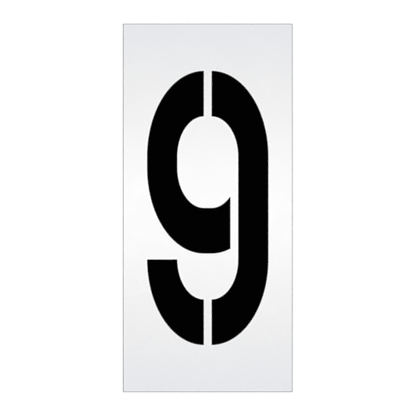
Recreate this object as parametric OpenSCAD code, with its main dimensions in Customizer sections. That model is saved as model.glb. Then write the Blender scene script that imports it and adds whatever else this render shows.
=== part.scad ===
// Number stencil: one flat sheet of plastic with the numeral 9 cut right through it.
//
// The sheet lies on its underside, face up. X runs to the numeral's right, Y to its top and Z up
// through the sheet. The origin is the middle of the underside, behind the middle of the numeral.
//
// The numeral is drawn with two stroke rings, each a rounded block with a smaller one taken out.
// The bowl is most of a short ring. The stem and the hook are the right side and the lower left
// corner of a ring as tall as the numeral. Bridges of plain sheet cross the strokes, so that the
// counter inside the bowl and the field below it stay part of the sheet.

/* [Sheet] */
// Thickness of the sheet
sheet_t = 1.6; // [0.5:0.1:6.4]
// Plain border to the left and to the right of the numeral
side_margin = 26.9; // [10:0.1:80]
// Plain border above and below the numeral
end_margin = 52.6; // [10:0.1:120]

/* [Numeral] */
// Height of the numeral
numeral_h = 304.8; // [270:0.1:420]
// Width of the numeral
numeral_w = 134.7; // [105:0.1:220]
// Height of the bowl, from the numeral's top to the lower edge of the bowl's stroke
bowl_h = 203; // [170:0.1:240]

/* [Strokes] */
// Width of the upright strokes: the bowl's left side and the stem
side_stroke = 33.3; // [20:0.1:45]
// Height of the level strokes: the crown, the bowl's lower stroke and the foot
level_stroke = 50.4; // [30:0.1:70]
// Straight run between the corner curves of the crown and of the foot
crown_flat = 8.3; // [0.5:0.1:30]
// Straight run down the bowl's left side, between its corner curves
bowl_flank = 12.6; // [0.5:0.1:40]

/* [Bridges] */
// Width of the upright bridges: through the crown, through the foot and beside the stem
upright_bridge = 9; // [4:0.1:16]
// Height of the level bridge between the bowl and the tip of the hook
hook_bridge = 6.9; // [3:0.1:20]

/* [Hidden] */
$fn = 180;

// Outside of the sheet
sheet_w = numeral_w + 2 * side_margin;
sheet_h = numeral_h + 2 * end_margin;

// Half axes of the quarter ellipse at each outer corner of a stroke ring
corner_w = (numeral_w - crown_flat) / 2;
corner_h = (bowl_h - bowl_flank) / 2;

// Places along X: the left edge of the stem, and the cut end of the bowl's lower stroke
stem_x = numeral_w / 2 - side_stroke;
bowl_end_x = stem_x - upright_bridge;

// Places along Y: the numeral's top, the middle of the counter and the tip of the hook
top_y = numeral_h / 2;
counter_y = top_y - bowl_h / 2;
hook_tip_y = top_y - bowl_h - hook_bridge;

// A point beyond the numeral's upper right corner, for cuts that run off the numeral
beyond = [numeral_w, numeral_h];

// Block about the origin whose four corners are quarter ellipses of the half axes rx and ry
module rounded_block(w, h, rx, ry) {
    square([w - 2 * rx, h], center = true);
    square([w, h - 2 * ry], center = true);
    for (side = [-1, 1], end = [-1, 1])
        translate([side * (w / 2 - rx), end * (h / 2 - ry)])
            scale([rx, ry])
                circle(r = 1);
}

// Closed ring of stroke, as wide as the numeral and h high, hanging from the numeral's top
module stroke_ring(h) {
    translate([0, top_y - h / 2])
        difference() {
            rounded_block(numeral_w, h, corner_w, corner_h);
            rounded_block(
                numeral_w - 2 * side_stroke,
                h - 2 * level_stroke,
                corner_w - side_stroke,
                corner_h - level_stroke
            );
        }
}

// Rectangle from its lower left corner to its upper right corner
module field(low, high) {
    translate(low)
        square(high - low);
}

// Left half of the bowl, and its lower stroke as far as the bridge beside the stem
module bowl_opening() {
    difference() {
        stroke_ring(bowl_h);
        field([-upright_bridge / 2, counter_y], beyond);
        field([bowl_end_x, -beyond.y], beyond);
    }
}

// Right half of the crown, the stem and the right half of the foot
module stem_opening() {
    difference() {
        stroke_ring(numeral_h);
        field(-beyond, [upright_bridge / 2, beyond.y]);
    }
}

// Left half of the foot, curling up to the flat tip of the hook
module hook_opening() {
    difference() {
        stroke_ring(numeral_h);
        field([-upright_bridge / 2, -beyond.y], beyond);
        field([-beyond.x, hook_tip_y], beyond);
    }
}

module stencil_sheet() {
    color("whitesmoke")
        linear_extrude(sheet_t)
            difference() {
                square([sheet_w, sheet_h], center = true);
                bowl_opening();
                stem_opening();
                hook_opening();
            }
}

stencil_sheet();
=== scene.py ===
"""Number stencil: one flat sheet of milky polyethylene with the numeral 9 cut through it.

The sheet lies face up on a pale floor, with black paint on the floor behind the numeral. Lengths
are in metres. X runs to the numeral's right, Y to its top and Z up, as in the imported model.
"""

import math

import bmesh
import bpy
import numpy as np
from mathutils import Matrix, Vector
from mathutils.geometry import delaunay_2d_cdt


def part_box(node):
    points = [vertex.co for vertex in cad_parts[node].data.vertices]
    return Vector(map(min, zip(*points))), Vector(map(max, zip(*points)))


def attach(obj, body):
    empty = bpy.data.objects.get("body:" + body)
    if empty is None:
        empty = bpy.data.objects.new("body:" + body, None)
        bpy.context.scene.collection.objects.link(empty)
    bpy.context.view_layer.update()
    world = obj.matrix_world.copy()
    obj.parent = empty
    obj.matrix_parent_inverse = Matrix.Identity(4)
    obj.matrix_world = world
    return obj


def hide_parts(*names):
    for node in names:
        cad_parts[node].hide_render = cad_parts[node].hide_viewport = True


MM = 0.001

# Sizes of the numeral, named as in the part's source
NUMERAL_H = 304.8 * MM
NUMERAL_W = 134.7 * MM
BOWL_H = 203.0 * MM
SIDE_STROKE = 33.3 * MM
LEVEL_STROKE = 50.4 * MM
CROWN_FLAT = 8.3 * MM
BOWL_FLANK = 12.6 * MM
UPRIGHT_BRIDGE = 9.0 * MM
HOOK_BRIDGE = 6.9 * MM

# Places worked out from those sizes
TOP_Y = NUMERAL_H / 2
BOWL_END_X = NUMERAL_W / 2 - SIDE_STROKE - UPRIGHT_BRIDGE
HOOK_TIP_Y = TOP_Y - BOWL_H - HOOK_BRIDGE

# Half axes of the quarter ellipses at the outside and at the inside of a stroke's corners
OUTSIDE = Vector(((NUMERAL_W - CROWN_FLAT) / 2, (BOWL_H - BOWL_FLANK) / 2))
INSIDE = OUTSIDE - Vector((SIDE_STROKE, LEVEL_STROKE))

# Centres of the corner curves
CROWN_LEFT = Vector((-CROWN_FLAT / 2, TOP_Y - OUTSIDE.y))
CROWN_RIGHT = Vector((CROWN_FLAT / 2, TOP_Y - OUTSIDE.y))
BOWL_LEFT = Vector((-CROWN_FLAT / 2, TOP_Y - BOWL_H + OUTSIDE.y))
BOWL_RIGHT = Vector((CROWN_FLAT / 2, TOP_Y - BOWL_H + OUTSIDE.y))
FOOT_LEFT = Vector((-CROWN_FLAT / 2, OUTSIDE.y - TOP_Y))
FOOT_RIGHT = Vector((CROWN_FLAT / 2, OUTSIDE.y - TOP_Y))

# How finely the outlines are divided along curves and along straight edges
ARC_STEP = math.radians(1.5)
EDGE_STEP = 3.0 * MM

# Corners of the openings, seen from above: the least turn that is one, its radius and its steps
CORNER_TURN = math.radians(20)
CUT_CORNER = 0.15 * MM
CORNER_STEPS = 5


# Outlines

def arc(centre, radii, start, end):
    """Points along an ellipse from the angle start to the angle end."""
    steps = max(1, math.ceil(abs(end - start) / ARC_STEP))
    points = []
    for i in range(steps + 1):
        angle = start + (end - start) * i / steps
        points.append(centre + Vector((radii.x * math.cos(angle), radii.y * math.sin(angle))))
    return points


def bowl_side(radii):
    """One side of the bowl's stroke, from the crown bridge round to the cut beside the stem."""
    start = math.acos((-UPRIGHT_BRIDGE / 2 - CROWN_LEFT.x) / radii.x)
    end = -math.acos((BOWL_END_X - BOWL_RIGHT.x) / radii.x)
    return (
        arc(CROWN_LEFT, radii, start, math.pi)
        + arc(BOWL_LEFT, radii, -math.pi, -math.pi / 2)
        + arc(BOWL_RIGHT, radii, -math.pi / 2, end)
    )


def stem_side(radii):
    """One side of the stem's stroke, from the foot bridge up to the crown bridge."""
    end = math.acos((UPRIGHT_BRIDGE / 2 - CROWN_RIGHT.x) / radii.x)
    return arc(FOOT_RIGHT, radii, -end, 0) + arc(CROWN_RIGHT, radii, 0, end)


def hook_side(radii):
    """One side of the hook's stroke, from its flat tip down to the foot bridge."""
    start = -math.pi - math.asin((HOOK_TIP_Y - FOOT_LEFT.y) / radii.y)
    end = -math.acos((-UPRIGHT_BRIDGE / 2 - FOOT_LEFT.x) / radii.x)
    return arc(FOOT_LEFT, radii, start, end)


def opening(side):
    """Outline of an opening, clockwise, so that the plastic lies to its left."""
    return side(INSIDE) + side(OUTSIDE)[::-1]


def rounded(outline, radius):
    """The closed outline with its sharp corners rounded."""
    points = []
    for i, point in enumerate(outline):
        before = (point - outline[i - 1]).normalized()
        after = (outline[(i + 1) % len(outline)] - point).normalized()
        turn = math.atan2(before.cross(after), before.dot(after))
        if abs(turn) < CORNER_TURN:
            points.append(point)
            continue
        start = point - before * radius * math.tan(abs(turn) / 2)
        centre = start + Vector((-before.y, before.x)) * math.copysign(radius, turn)
        for step in range(CORNER_STEPS + 1):
            spoke = start - centre
            spoke.rotate(Matrix.Rotation(turn * step / CORNER_STEPS, 2))
            points.append(centre + spoke)
    return points


def divided(outline):
    """The closed outline with points added along its long straight edges."""
    points = []
    for i, point in enumerate(outline):
        after = outline[(i + 1) % len(outline)]
        steps = max(1, round((after - point).length / EDGE_STEP))
        points += [point.lerp(after, step / steps) for step in range(steps)]
    return points


def moved_in(outline, depth):
    """The closed outline moved by depth into the plastic on its left, with mitred corners."""
    points = []
    for i, point in enumerate(outline):
        before = (point - outline[i - 1]).normalized()
        after = (outline[(i + 1) % len(outline)] - point).normalized()
        left = Vector((-before.y - after.y, before.x + after.x))
        points.append(point + left * (depth / (1 + before.dot(after))))
    return points


def sheet_outline(low, high):
    """Outside of the sheet, anticlockwise, so that the plastic lies to its left."""
    return [
        Vector((low.x, low.y)),
        Vector((high.x, low.y)),
        Vector((high.x, high.y)),
        Vector((low.x, high.y)),
    ]


# The sheet

# Lower edge of the plastic all round, and the flat rim between an edge and the open field
UNDER_EDGE = 0.12 * MM
FLAT_RIM = 0.6 * MM
ROUND_STEPS = 4

# Edge of each opening: a wall and rim darkened with painted shade, and a low bead where the plastic
# whitened
CUT_EDGE_SHADE = 0.9
CUT_ROUND = 0.4 * MM
BEAD_H = 0.04 * MM
BEAD_W = 1.2 * MM
BEAD_RISE = 0.05 * MM
BEAD_FALL = 0.4 * MM

# Edge round the sheet: torn back a little low on the wall, rolled over by the shears above and
# darkened there with painted shade, with a faint white line inside the roll
TORN_DEPTH = 0.06 * MM
TORN_LOW = 0.50 * MM
TORN_HIGH = 0.62 * MM
SHEARED_ROUND = 0.7 * MM
SHEARED_FADE = 0.15 * MM
STRESSED_W = 0.9 * MM
STRESSED_FADE = 0.4 * MM
STRESSED_SHARE = 0.6

# Points that even out the flat faces: how far apart they are, and how far from any outline
FIELD_STEP = 7.0 * MM
FIELD_CLEAR = 0.6 * FIELD_STEP

# Kind of result and reach of a point when a flat face is divided into triangles
TRIANGLES = 0
POINT_REACH = 1e-9

# Least angle between two faces that shows as a sharp edge
CREASE = math.radians(32)


def quarter_round(radius, top):
    """Depth and height of the points of a rounded upper edge, from the wall to the top."""
    points = []
    for i in range(ROUND_STEPS + 1):
        angle = math.pi / 2 * i / ROUND_STEPS
        points.append((radius * (1 - math.cos(angle)), top - radius * (1 - math.sin(angle))))
    return points


def lower_edge(depth):
    """Depth and height of the points of the small lower edge of a wall that stands at depth."""
    return [(depth + UNDER_EDGE, 0.0), (depth, UNDER_EDGE)]


def cut_profile(top):
    """Rows of the edge of an opening: depth, height, share of painted shade and how whitened it is.
    """
    rows = [(UNDER_EDGE + FLAT_RIM, 0.0, 0.0, 0.0)]
    wall = lower_edge(0.0) + quarter_round(CUT_ROUND, top + BEAD_H)
    rows += [(*point, CUT_EDGE_SHADE, 0.0) for point in wall]
    rows.append((CUT_ROUND + BEAD_RISE, top + BEAD_H, 0.0, 1.0))
    depth = CUT_ROUND + BEAD_W
    rows.append((depth, top + BEAD_H, 0.0, 1.0))
    rows.append((depth + BEAD_FALL, top, 0.0, 0.0))
    rows.append((depth + BEAD_FALL + FLAT_RIM, top, 0.0, 0.0))
    return rows


def sheared_profile(top):
    """Rows of the edge round the sheet, cut clean above and torn back a little below."""
    rows = [(TORN_DEPTH + UNDER_EDGE + FLAT_RIM, 0.0, 0.0, 0.0)]
    wall = lower_edge(TORN_DEPTH) + [(TORN_DEPTH, TORN_LOW), (0.0, TORN_HIGH)]
    wall += quarter_round(SHEARED_ROUND, top)
    # The wall and the roll take full painted shade
    rows += [(*point, 1.0, 0.0) for point in wall]
    depth = SHEARED_ROUND + SHEARED_FADE
    rows.append((depth, top, 0.0, STRESSED_SHARE))
    depth += STRESSED_W
    rows.append((depth, top, 0.0, STRESSED_SHARE))
    rows.append((depth + STRESSED_FADE, top, 0.0, 0.0))
    rows.append((depth + STRESSED_FADE + FLAT_RIM, top, 0.0, 0.0))
    return rows


def add_edge(bm, outline, profile):
    """Builds the band of faces round an outline. Returns its first and its last row of vertices."""
    layers = bm.verts.layers.float
    rows = []
    for depth, height, edge_shade, whitened in profile:
        row = [bm.verts.new((*point, height)) for point in moved_in(outline, depth)]
        for vert in row:
            # Share of painted shade on this row, and how whitened it is
            vert[layers["edge_shade"]] = edge_shade
            vert[layers["whitened"]] = whitened
        rows.append(row)
    for lower, upper in zip(rows, rows[1:]):
        for i in range(len(outline)):
            bm.faces.new((lower[i - 1], lower[i], upper[i], upper[i - 1]))
    return rows[0], rows[-1]


def in_plastic(points, outlines):
    """Whether each of the points lies in the plastic: inside an odd number of the outlines."""
    inside = np.zeros(len(points), bool)
    for outline in outlines:
        ends = np.array([tuple(p) for p in outline])
        starts = np.roll(ends, 1, axis=0)
        for (x0, y0), (x1, y1) in zip(starts, ends):
            if y0 == y1:
                continue
            spans = (points[:, 1] < y0) != (points[:, 1] < y1)
            inside ^= spans & (points[:, 0] < x0 + (points[:, 1] - y0) * (x1 - x0) / (y1 - y0))
    return inside


def field_points(outlines):
    """Evenly spread points in the plastic, clear of the outlines, that even out the flat faces."""
    ends = np.array([tuple(p) for outline in outlines for p in outline])
    low, high = ends.min(0), ends.max(0)
    rows = np.arange(low[1], high[1], FIELD_STEP * math.sqrt(3) / 2)
    points = []
    for i, y in enumerate(rows):
        shift = FIELD_STEP / 2 * (i % 2)
        points += [(x, y) for x in np.arange(low[0] + shift, high[0], FIELD_STEP)]
    points = np.array(points)
    gaps = np.linalg.norm(points[:, None] - ends[None], axis=2).min(1)
    return points[(gaps > FIELD_CLEAR) & in_plastic(points, outlines)]


def fill(bm, rings, height):
    """Closes the flat face between the rings of vertices with even triangles."""
    outlines = [[vert.co.xy for vert in ring] for ring in rings]
    verts = [vert for ring in rings for vert in ring]
    edges = []
    for ring in rings:
        first = len(edges)
        edges += [(first + i, first + (i + 1) % len(ring)) for i in range(len(ring))]
    spread = field_points(outlines)
    verts += [bm.verts.new((x, y, height)) for x, y in spread]
    places, _, triangles, sources, _, _ = delaunay_2d_cdt(
        [vert.co.xy for vert in verts], edges, [], TRIANGLES, POINT_REACH
    )
    centres = np.array([np.mean([places[i] for i in face], axis=0) for face in triangles])
    for face, kept in zip(triangles, in_plastic(centres, outlines)):
        if kept:
            bm.faces.new([verts[sources[i][0]] for i in face])


def mesh_object(name, bm, material):
    """An object from bm, smooth but for its sharp edges."""
    bmesh.ops.recalc_face_normals(bm, faces=bm.faces)
    for face in bm.faces:
        face.smooth = True
    for edge in bm.edges:
        edge.smooth = edge.is_manifold and edge.calc_face_angle() < CREASE
    mesh = bpy.data.meshes.new(name)
    bm.to_mesh(mesh)
    bm.free()
    mesh.materials.append(material)
    obj = bpy.data.objects.new(name, mesh)
    bpy.context.scene.collection.objects.link(obj)
    return obj


def make_sheet(low, high, openings):
    """The sheet, with a bead along each cut and its outer edges rolled over by the shears."""
    bm = bmesh.new()
    # Layer with the share of painted shade on the walls and rolled edges
    bm.verts.layers.float.new("edge_shade")
    bm.verts.layers.float.new("whitened")
    top = high.z - BEAD_H
    rings = [add_edge(bm, divided(sheet_outline(low, high)), sheared_profile(top))]
    rings += [add_edge(bm, outline, cut_profile(top)) for outline in openings]
    fill(bm, [under for under, _ in rings], 0.0)
    fill(bm, [upper for _, upper in rings], top)
    return mesh_object("cut_sheet", bm, sheet_plastic())


# Nodes

# Sockets of a mix node that hold its two colours and its result
MIX_A = 6
MIX_B = 7
MIX_RESULT = 2


class Nodes:
    """Adds and links the nodes of one material, or of the world."""

    def __init__(self, owner, output="ShaderNodeOutputMaterial"):
        owner.use_nodes = True
        self.tree = owner.node_tree
        self.tree.nodes.clear()
        self.output = self.add(output)

    def add(self, kind, inputs=None, **settings):
        """A new node. Inputs are values or sockets, by the input's name or place."""
        node = self.tree.nodes.new(kind)
        for name, value in settings.items():
            setattr(node, name, value)
        for name, value in (inputs or {}).items():
            self.put(node.inputs[name], value)
        return node

    def put(self, socket, value):
        """Links the value to the socket where it is a socket itself, and sets it otherwise."""
        if isinstance(value, bpy.types.NodeSocket):
            self.tree.links.new(value, socket)
        else:
            socket.default_value = value

    def surface(self, shader):
        self.put(self.output.inputs["Surface"], shader.outputs[0])

    def place(self):
        """Place on the object, in metres along its axes."""
        return self.add("ShaderNodeTexCoord").outputs["Object"]

    def painted(self, layer):
        """Value of a layer of the mesh's vertices."""
        return self.add("ShaderNodeAttribute", attribute_name=layer).outputs["Fac"]

    def noise(self, place, pitch, detail=2.0, turn=0.0, low=0.3, high=0.7):
        """Noise from 0 to 1 with the given pitch along each axis, turned about the vertical."""
        turned = self.add("ShaderNodeMapping", {"Vector": place, "Rotation": (0, 0, turn)})
        scale = [1 / length for length in pitch]
        spread = self.add("ShaderNodeMapping", {"Vector": turned.outputs[0], "Scale": scale})
        node = self.add(
            "ShaderNodeTexNoise", {"Vector": spread.outputs[0], "Scale": 1.0, "Detail": detail}
        )
        return self.remap(node.outputs["Fac"], low, high)

    def remap(self, value, low, high, to_low=0.0, to_high=1.0):
        """The value carried over from one range to the other, and held at its ends."""
        node = self.add(
            "ShaderNodeMapRange",
            {
                "Value": value,
                "From Min": low,
                "From Max": high,
                "To Min": to_low,
                "To Max": to_high,
            },
        )
        return node.outputs[0]

    def math(self, operation, *values):
        node = self.add("ShaderNodeMath", dict(enumerate(values)), operation=operation)
        return node.outputs[0]

    def total(self, base, *parts):
        """The base and a sum of values, each given with its weight."""
        value = base
        for part, weight in parts:
            value = self.math("MULTIPLY_ADD", part, weight, value)
        return value

    def mix(self, share, a, b):
        """Colour a with the given share of colour b."""
        node = self.add("ShaderNodeMix", {"Factor": share}, data_type="RGBA")
        self.put(node.inputs[MIX_A], a)
        self.put(node.inputs[MIX_B], b)
        return node.outputs[MIX_RESULT]


# The plastic

# Pitch of each pattern along X, Y and Z, from clouds in the sheet to the cutter's streaks on a wall
CLOUD_PITCH = (45 * MM, 45 * MM, 45 * MM)
SMUDGE_PITCH = (28 * MM, 28 * MM, 28 * MM)
GRAIN_PITCH = (0.7 * MM, 0.7 * MM, 0.7 * MM)
DRAWN_PITCH = (2.4 * MM, 200 * MM, 200 * MM)
STREAK_PITCH = (0.25 * MM, 0.25 * MM, 6 * MM)

# Scratches: the turn and the pitch of each of three directions, the pitch along a scratch, and
# the level of the noise at which a scratch begins and at which it is full
SCRATCH_SETS = ((0.35, 0.7 * MM), (-0.5, 0.9 * MM), (1.4, 0.8 * MM))
SCRATCH_LENGTH = 60 * MM
SCRATCH_BEGINS = 0.70
SCRATCH_FULL = 0.76

# Where each zone begins and where it is full: the painted cool shade at the ends of the sheet,
# along Y, and in height the wall under a rounded rim and the torn part of that wall
COOL_SHADE_ENDS = (130 * MM, 185 * MM)
WALL_ZONE = (1.40 * MM, 1.15 * MM)
TORN_ZONE = (TORN_HIGH, 0.52 * MM)

# Clean plastic, at its darkest and at its palest
MILKY_DARK = (0.860, 0.860, 0.862, 1)
MILKY_PALE = (0.880, 0.880, 0.882, 1)

# Colour that each mark takes
# Painted cool shade: a bluish grey that stands in for the dimmer, cooler light at the two ends of
# the sheet
COOL_SHADE = (0.843, 0.862, 0.943, 1)
GRAIN = (0.82, 0.82, 0.823, 1)
SCRATCH = (0.93, 0.932, 0.936, 1)
WHITENED = (0.97, 0.972, 0.975, 1)
# Painted shade: dark grey that stands in for the shade on the walls and rolled edges, drawing a
# dark line round the sheet and the openings
EDGE_SHADE = (0.25, 0.257, 0.27, 1)
# Torn lower part of the outer wall: a lighter rough band, partly its own colour and partly still
# grey from painted shade
TORN_AND_SHADE = (0.50, 0.51, 0.53, 1)
STREAK = (0.20, 0.205, 0.215, 1)

# Share of its colour that a mark shows where it is strongest
# Share of the painted cool shade at the ends
COOL_SHADE_SHARE = 0.4
GRAIN_SHARE = 0.35
SCRATCH_SHARE = 0.8
STREAK_SHARE = 0.22

# Roughness of clean plastic, and what each mark adds to it
ROUGHNESS = 0.34
SMUDGE_ROUGH = 0.05
SCRATCH_ROUGH = 0.06
WALL_ROUGH = 0.15

# Depth of the relief, and each mark's part in it
RELIEF_DEPTH = 0.012 * MM
GRAIN_RELIEF = 0.6
DRAWN_RELIEF = 0.4
SCRATCH_RELIEF = -0.5
STREAK_RELIEF = 2.5

PLASTIC_IOR = 1.54


def scratches(n, place):
    """Hairline scratches from handling, in three directions: 1 in a scratch and 0 beside it."""
    lines = 0.0
    for turn, pitch in SCRATCH_SETS:
        spread = (pitch, SCRATCH_LENGTH, SCRATCH_LENGTH)
        fine = n.noise(place, spread, 1.0, turn, SCRATCH_BEGINS, SCRATCH_FULL)
        lines = n.math("MAXIMUM", fine, lines)
    return lines


class Marks:
    """How strong each mark and pattern of the plastic is at a place, from 0 to 1."""

    def __init__(self, n):
        place = n.place()
        _, along, height = n.add("ShaderNodeSeparateXYZ", {0: place}).outputs
        self.clouds = n.noise(place, CLOUD_PITCH, detail=3.0)
        self.smudged = n.noise(place, SMUDGE_PITCH, detail=4.0)
        self.grain = n.noise(place, GRAIN_PITCH, detail=1.0)
        self.drawn = n.noise(place, DRAWN_PITCH)
        self.scratched = scratches(n, place)
        # Painted cool shade, full at the ends of the sheet where the strip light is weaker
        self.cool_shade = n.remap(n.math("ABSOLUTE", along), *COOL_SHADE_ENDS)
        self.whitened = n.painted("whitened")
        # Share of painted shade on the walls and rolled edges, read from the mesh; it also marks
        # where the walls are
        self.edge_shade = n.painted("edge_shade")
        self.wall = n.math("MULTIPLY", self.edge_shade, n.remap(height, *WALL_ZONE))
        self.streaks = n.math("MULTIPLY", self.wall, n.noise(place, STREAK_PITCH))
        sheared = n.remap(self.edge_shade, CUT_EDGE_SHADE, 1.0)
        self.torn = n.math("MULTIPLY", sheared, n.remap(height, *TORN_ZONE))


def plastic_colour(n, marks):
    """Milky white, with the colour of each mark laid over it in turn: among them painted cool shade
    at the ends and painted shade on the walls and rolled edges.
    """
    layers = (
        # Painted cool shade at the ends of the sheet
        (n.math("MULTIPLY", marks.cool_shade, COOL_SHADE_SHARE), COOL_SHADE),
        (n.math("MULTIPLY", marks.grain, GRAIN_SHARE), GRAIN),
        (n.math("MULTIPLY", marks.scratched, SCRATCH_SHARE), SCRATCH),
        (marks.whitened, WHITENED),
        # Painted shade on the walls and rolled edges
        (marks.edge_shade, EDGE_SHADE),
        # Torn band: lighter than the painted shade above it, but still partly painted shade
        (marks.torn, TORN_AND_SHADE),
        (n.math("MULTIPLY", marks.streaks, STREAK_SHARE), STREAK),
    )
    colour = n.mix(marks.clouds, MILKY_DARK, MILKY_PALE)
    for share, tint in layers:
        colour = n.mix(share, colour, tint)
    return colour


def plastic_roughness(n, marks):
    """Satin, a little duller where the face is smudged or scratched, and dull on the walls."""
    return n.total(
        ROUGHNESS,
        (marks.smudged, SMUDGE_ROUGH),
        (marks.scratched, SCRATCH_ROUGH),
        (marks.wall, WALL_ROUGH),
    )


def plastic_relief(n, marks):
    """Surface direction over the grain, the drawn lines, the scratches and the streaks."""
    height = n.total(
        0.0,
        (marks.grain, GRAIN_RELIEF),
        (marks.drawn, DRAWN_RELIEF),
        (marks.scratched, SCRATCH_RELIEF),
        (marks.streaks, STREAK_RELIEF),
    )
    bump = n.add("ShaderNodeBump", {"Height": height, "Strength": 1.0, "Distance": RELIEF_DEPTH})
    return bump.outputs[0]


def sheet_plastic():
    """Milky polyethylene, satin on its faces, whitened along the cuts, rough and darkened with
    painted shade on its edges, with a painted cool shade at its ends.
    """
    material = bpy.data.materials.new("sheet_plastic")
    n = Nodes(material)
    marks = Marks(n)
    plastic = n.add(
        "ShaderNodeBsdfPrincipled",
        {
            "Base Color": plastic_colour(n, marks),
            "Roughness": plastic_roughness(n, marks),
            "IOR": PLASTIC_IOR,
            "Normal": plastic_relief(n, marks),
        },
    )
    n.surface(plastic)
    return material


# Floor and paint

# Half the side of the floor, and where it and the paint lie under the sheet
FLOOR_HALF = 4.0
FLOOR_Z = -0.4 * MM
PAINT_Z = -0.3 * MM

# How far the paint spreads under the edges of the openings
PAINT_SPREAD = 1.2 * MM

# Glow that keeps the floor white where it is seen: at its middle, and its rise per square metre
FLOOR_GLOW = 0.08
FLOOR_GLOW_RISE = 1.9

PALE = (0.95, 0.95, 0.95, 1)
BLACK = (0.0006, 0.0006, 0.0006, 1)


def seen_directly(n):
    """1 for the camera and for mirrored and transmitted rays, and 0 for light that falls."""
    path = n.add("ShaderNodeLightPath").outputs
    seen = n.math("MAXIMUM", path["Is Camera Ray"], path["Is Glossy Ray"])
    return n.math("MAXIMUM", seen, path["Is Transmission Ray"])


def pale_floor():
    """Pale matt floor that shows white to the camera and keeps the shadow of the sheet."""
    material = bpy.data.materials.new("pale_floor")
    n = Nodes(material)
    away = n.add("ShaderNodeVectorMath", {0: n.place()}, operation="LENGTH").outputs["Value"]
    lift = n.total(FLOOR_GLOW, (n.math("MULTIPLY", away, away), FLOOR_GLOW_RISE))
    glow = n.add("ShaderNodeEmission", {"Strength": n.math("MULTIPLY", seen_directly(n), lift)})
    matt = n.add("ShaderNodeBsdfDiffuse", {"Color": PALE})
    n.surface(n.add("ShaderNodeAddShader", {0: matt.outputs[0], 1: glow.outputs[0]}))
    return material


def black_paint():
    """Dead matt black paint."""
    material = bpy.data.materials.new("black_paint")
    n = Nodes(material)
    n.surface(n.add("ShaderNodeBsdfDiffuse", {"Color": BLACK}))
    return material


def make_floor():
    """Floor just under the sheet, wider than any view of it."""
    bm = bmesh.new()
    bmesh.ops.create_grid(bm, size=FLOOR_HALF, matrix=Matrix.Translation((0, 0, FLOOR_Z)))
    mesh_object("floor", bm, pale_floor())


def make_paint(openings):
    """Paint on the floor behind the openings, spread a little way under their edges."""
    bm = bmesh.new()
    for outline in openings:
        spread = moved_in(outline, PAINT_SPREAD)
        bm.faces.new([bm.verts.new((*point, PAINT_Z)) for point in spread])
    mesh_object("paint", bm, black_paint())


# Light and camera

# Strip light: its height, its length and width, and its power
STRIP_H = 0.70
STRIP_SIZE = (1.4, 0.10)
STRIP_WATTS = 4.74

# Sky: its colour, and how strongly it lights things
WHITE = (1, 1, 1, 1)
SKY_STRENGTH = 0.355

# Focal length and sensor width in millimetres
LENS = 85.0
SENSOR = 36.0

# Width of the view at the face of the sheet, and the middle of the view along X and Y
VIEW_WIDTH = 462.85 * MM
VIEW_MIDDLE = (0.29 * MM, -0.08 * MM)


def make_lamp():
    """Long soft strip across the middle of the sheet. Its sheen is brightest there."""
    light = bpy.data.lights.new("strip", "AREA")
    light.shape = "RECTANGLE"
    light.size, light.size_y = STRIP_SIZE
    light.energy = STRIP_WATTS
    lamp = bpy.data.objects.new("strip", light)
    lamp.location = (0, 0, STRIP_H)
    lamp.visible_camera = False
    bpy.context.scene.collection.objects.link(lamp)


def make_world():
    """Even light from all round, which shows white where it is seen directly."""
    world = bpy.data.worlds.new("studio")
    bpy.context.scene.world = world
    n = Nodes(world, "ShaderNodeOutputWorld")
    strength = n.remap(seen_directly(n), 0.0, 1.0, SKY_STRENGTH, 1.0)
    n.surface(n.add("ShaderNodeBackground", {"Color": WHITE, "Strength": strength}))


def make_camera(top):
    """Camera straight above the sheet, framed as the photograph is."""
    data = bpy.data.cameras.new("camera")
    data.lens = LENS
    data.sensor_width = SENSOR
    camera = bpy.data.objects.new("camera", data)
    camera.location = (*VIEW_MIDDLE, top + VIEW_WIDTH * LENS / SENSOR)
    bpy.context.scene.collection.objects.link(camera)
    bpy.context.scene.camera = camera


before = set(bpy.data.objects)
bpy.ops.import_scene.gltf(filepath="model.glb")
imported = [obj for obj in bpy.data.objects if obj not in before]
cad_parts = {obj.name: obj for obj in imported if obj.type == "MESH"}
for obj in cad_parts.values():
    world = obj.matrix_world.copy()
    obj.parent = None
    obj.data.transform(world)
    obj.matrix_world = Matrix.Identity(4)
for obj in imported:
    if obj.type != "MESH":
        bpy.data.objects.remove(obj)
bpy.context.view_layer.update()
bpy.context.scene.view_settings.view_transform = "Standard"

low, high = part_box("stencil_sheet")
make_camera(high.z)
openings = [
    divided(rounded(opening(side), CUT_CORNER)) for side in (bowl_side, stem_side, hook_side)
]
sheet = make_sheet(low, high, openings)
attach(sheet, "root")
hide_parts("stencil_sheet")
make_paint(openings)
make_floor()
make_lamp()
make_world()
